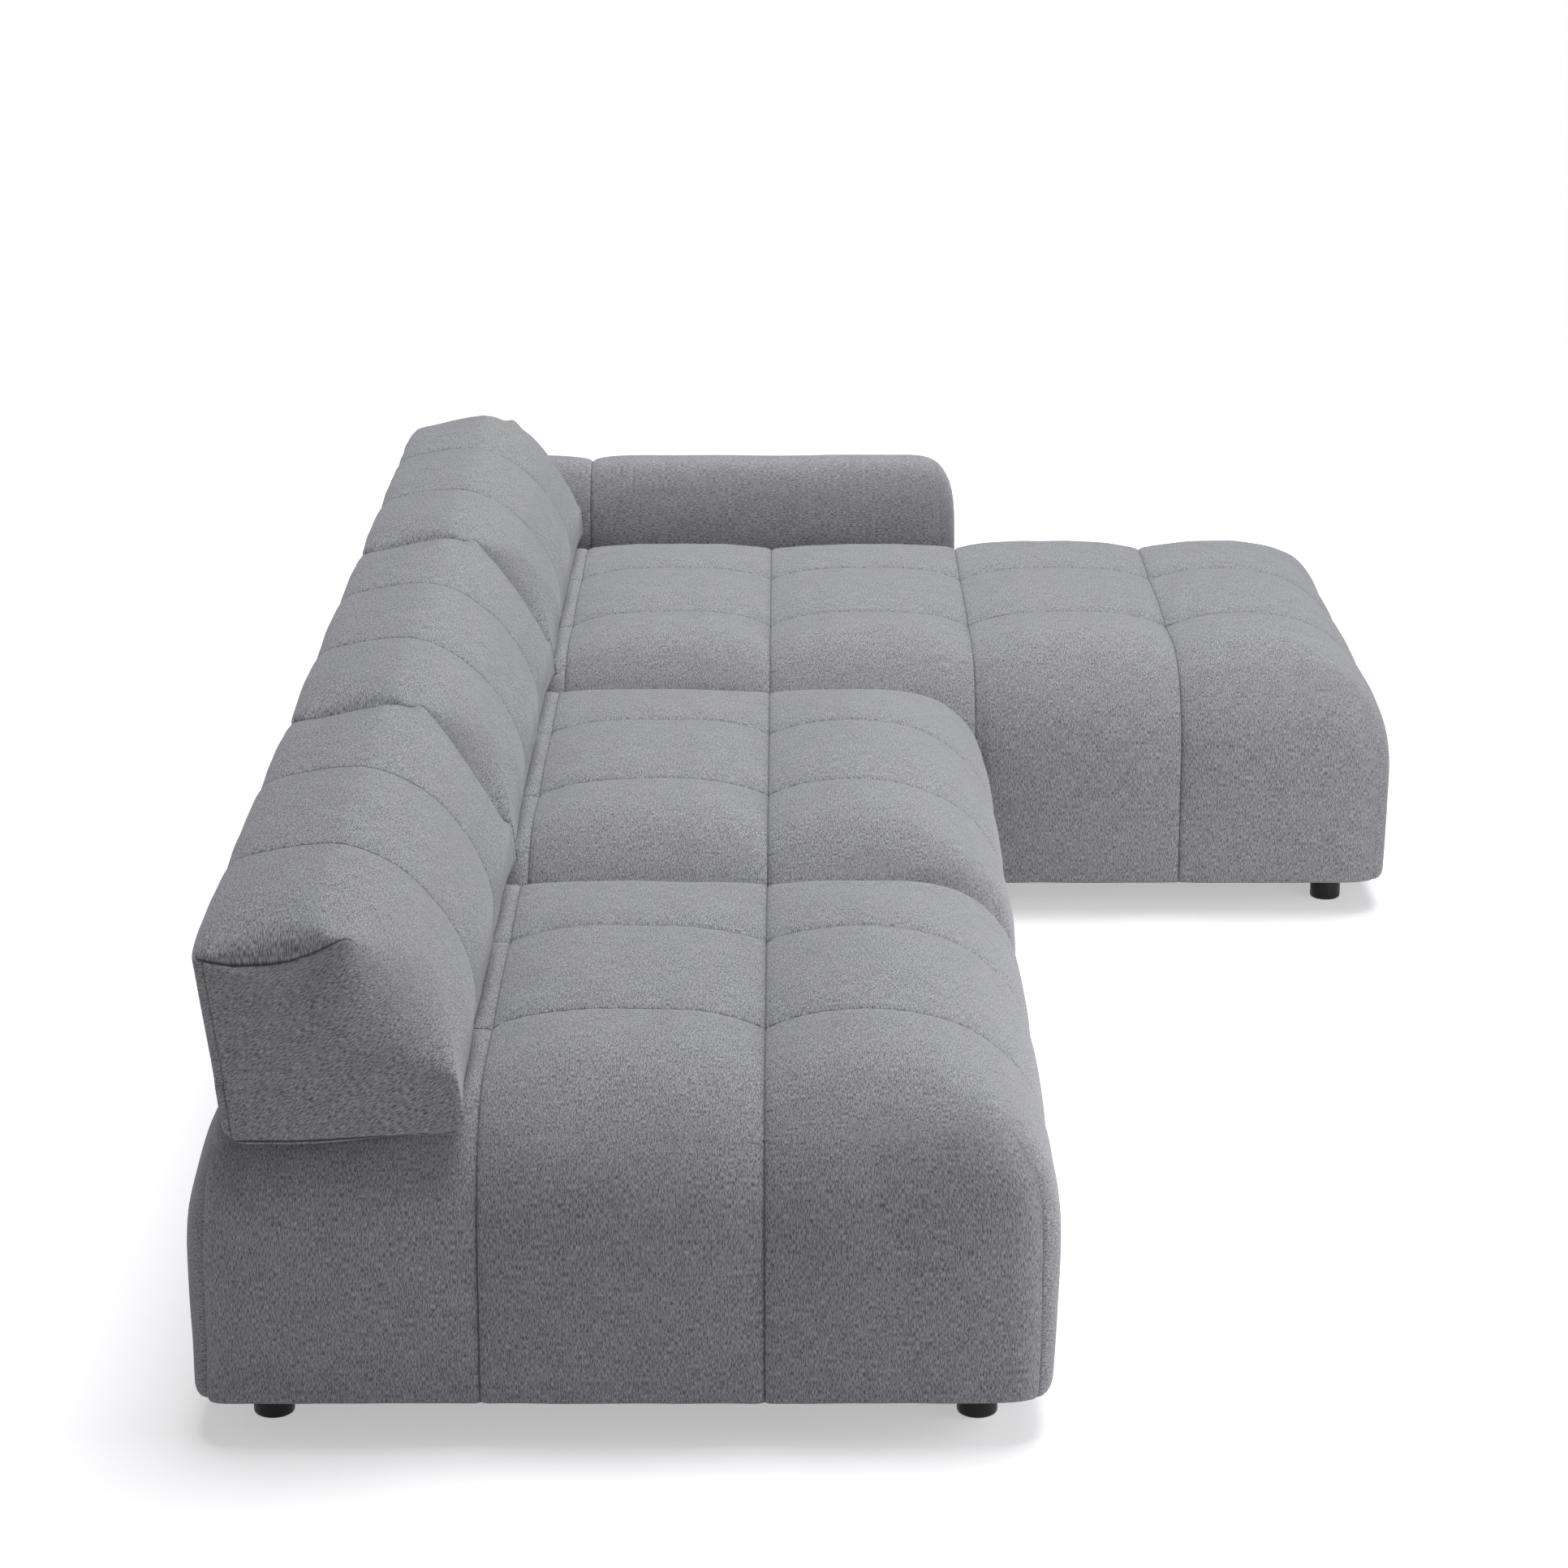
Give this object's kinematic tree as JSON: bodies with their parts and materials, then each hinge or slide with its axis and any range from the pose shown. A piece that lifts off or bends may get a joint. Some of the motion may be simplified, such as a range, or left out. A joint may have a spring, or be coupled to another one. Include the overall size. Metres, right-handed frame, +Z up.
{
  "type": "corner sofa",
  "caption": "Low corner sofa in grey quilted fabric: square seat blocks in a row ending in a chaise, lift-off wedge backrests, an armrest beside the chaise, and short round feet.",
  "frame": {"origin": "middle of the footprint, on the floor", "axes": "+X towards the front, where people sit facing; +Y along the row from its free end to the armrest; +Z up. Left and right are those of someone who sits on it, so left is +Y"},
  "size_m": [1.7364, 3.3058, 0.6655],
  "materials": {
    "grey_melange_fabric": "woven grey melange, matt, over foam",
    "plywood": "raw sanded plywood",
    "black_plastic": "black, satin",
    "zinc_plated_steel": "zinc plated",
    "elastic_webbing": "woven elastic strap",
    "black_dust_cloth": "non-woven black cloth"
  },
  "bodies": {
    "base": {"arm_cover": "grey_melange_fabric", "arm_foot_front": "black_plastic", "arm_foot_rear": "black_plastic", "arm_frame": "plywood", "chaise_back_sockets": "zinc_plated_steel", "chaise_cover": "grey_melange_fabric", "chaise_dust_cover": "black_dust_cloth", "chaise_foot_front_left": "black_plastic", "chaise_foot_front_right": "black_plastic", "chaise_foot_rear_left": "black_plastic", "chaise_foot_rear_right": "black_plastic", "chaise_front_rail": "plywood", "chaise_left_rail": "plywood", "chaise_middle_rail": "plywood", "chaise_rear_rail": "plywood", "chaise_right_rail": "plywood", "chaise_socket_rail": "plywood", "chaise_webbing": "elastic_webbing", "end_seat_back_sockets": "zinc_plated_steel", "end_seat_cover": "grey_melange_fabric", "end_seat_dust_cover": "black_dust_cloth", "end_seat_foot_front_left": "black_plastic", "end_seat_foot_front_right": "black_plastic", "end_seat_foot_rear_left": "black_plastic", "end_seat_foot_rear_right": "black_plastic", "end_seat_front_rail": "plywood", "end_seat_left_rail": "plywood", "end_seat_rear_rail": "plywood", "end_seat_right_rail": "plywood", "end_seat_socket_rail": "plywood", "end_seat_webbing": "elastic_webbing", "link_chaise_arm_front": "zinc_plated_steel", "link_chaise_arm_rear": "zinc_plated_steel", "link_end_middle_front": "zinc_plated_steel", "link_end_middle_rear": "zinc_plated_steel", "link_middle_chaise_front": "zinc_plated_steel", "link_middle_chaise_rear": "zinc_plated_steel", "middle_seat_back_sockets": "zinc_plated_steel", "middle_seat_cover": "grey_melange_fabric", "middle_seat_dust_cover": "black_dust_cloth", "middle_seat_foot_front_left": "black_plastic", "middle_seat_foot_front_right": "black_plastic", "middle_seat_foot_rear_left": "black_plastic", "middle_seat_foot_rear_right": "black_plastic", "middle_seat_front_rail": "plywood", "middle_seat_left_rail": "plywood", "middle_seat_rear_rail": "plywood", "middle_seat_right_rail": "plywood", "middle_seat_socket_rail": "plywood", "middle_seat_webbing": "elastic_webbing"},
    "end_back": {"end_back_cover": "grey_melange_fabric", "end_back_board": "plywood", "end_back_tongues": "zinc_plated_steel"},
    "middle_back": {"middle_back_cover": "grey_melange_fabric", "middle_back_board": "plywood", "middle_back_tongues": "zinc_plated_steel"},
    "chaise_back": {"chaise_back_cover": "grey_melange_fabric", "chaise_back_board": "plywood", "chaise_back_tongues": "zinc_plated_steel"}
  },
  "joints": [
    {"name": "end_back_lift", "type": "slide", "parent": "base", "child": "end_back", "axis": [0, 0, 1], "range_m": [0, 0.15]},
    {"name": "middle_back_lift", "type": "slide", "parent": "base", "child": "middle_back", "axis": [0, 0, 1], "range_m": [0, 0.15]},
    {"name": "chaise_back_lift", "type": "slide", "parent": "base", "child": "chaise_back", "axis": [0, 0, 1], "range_m": [0, 0.15]}
  ]
}
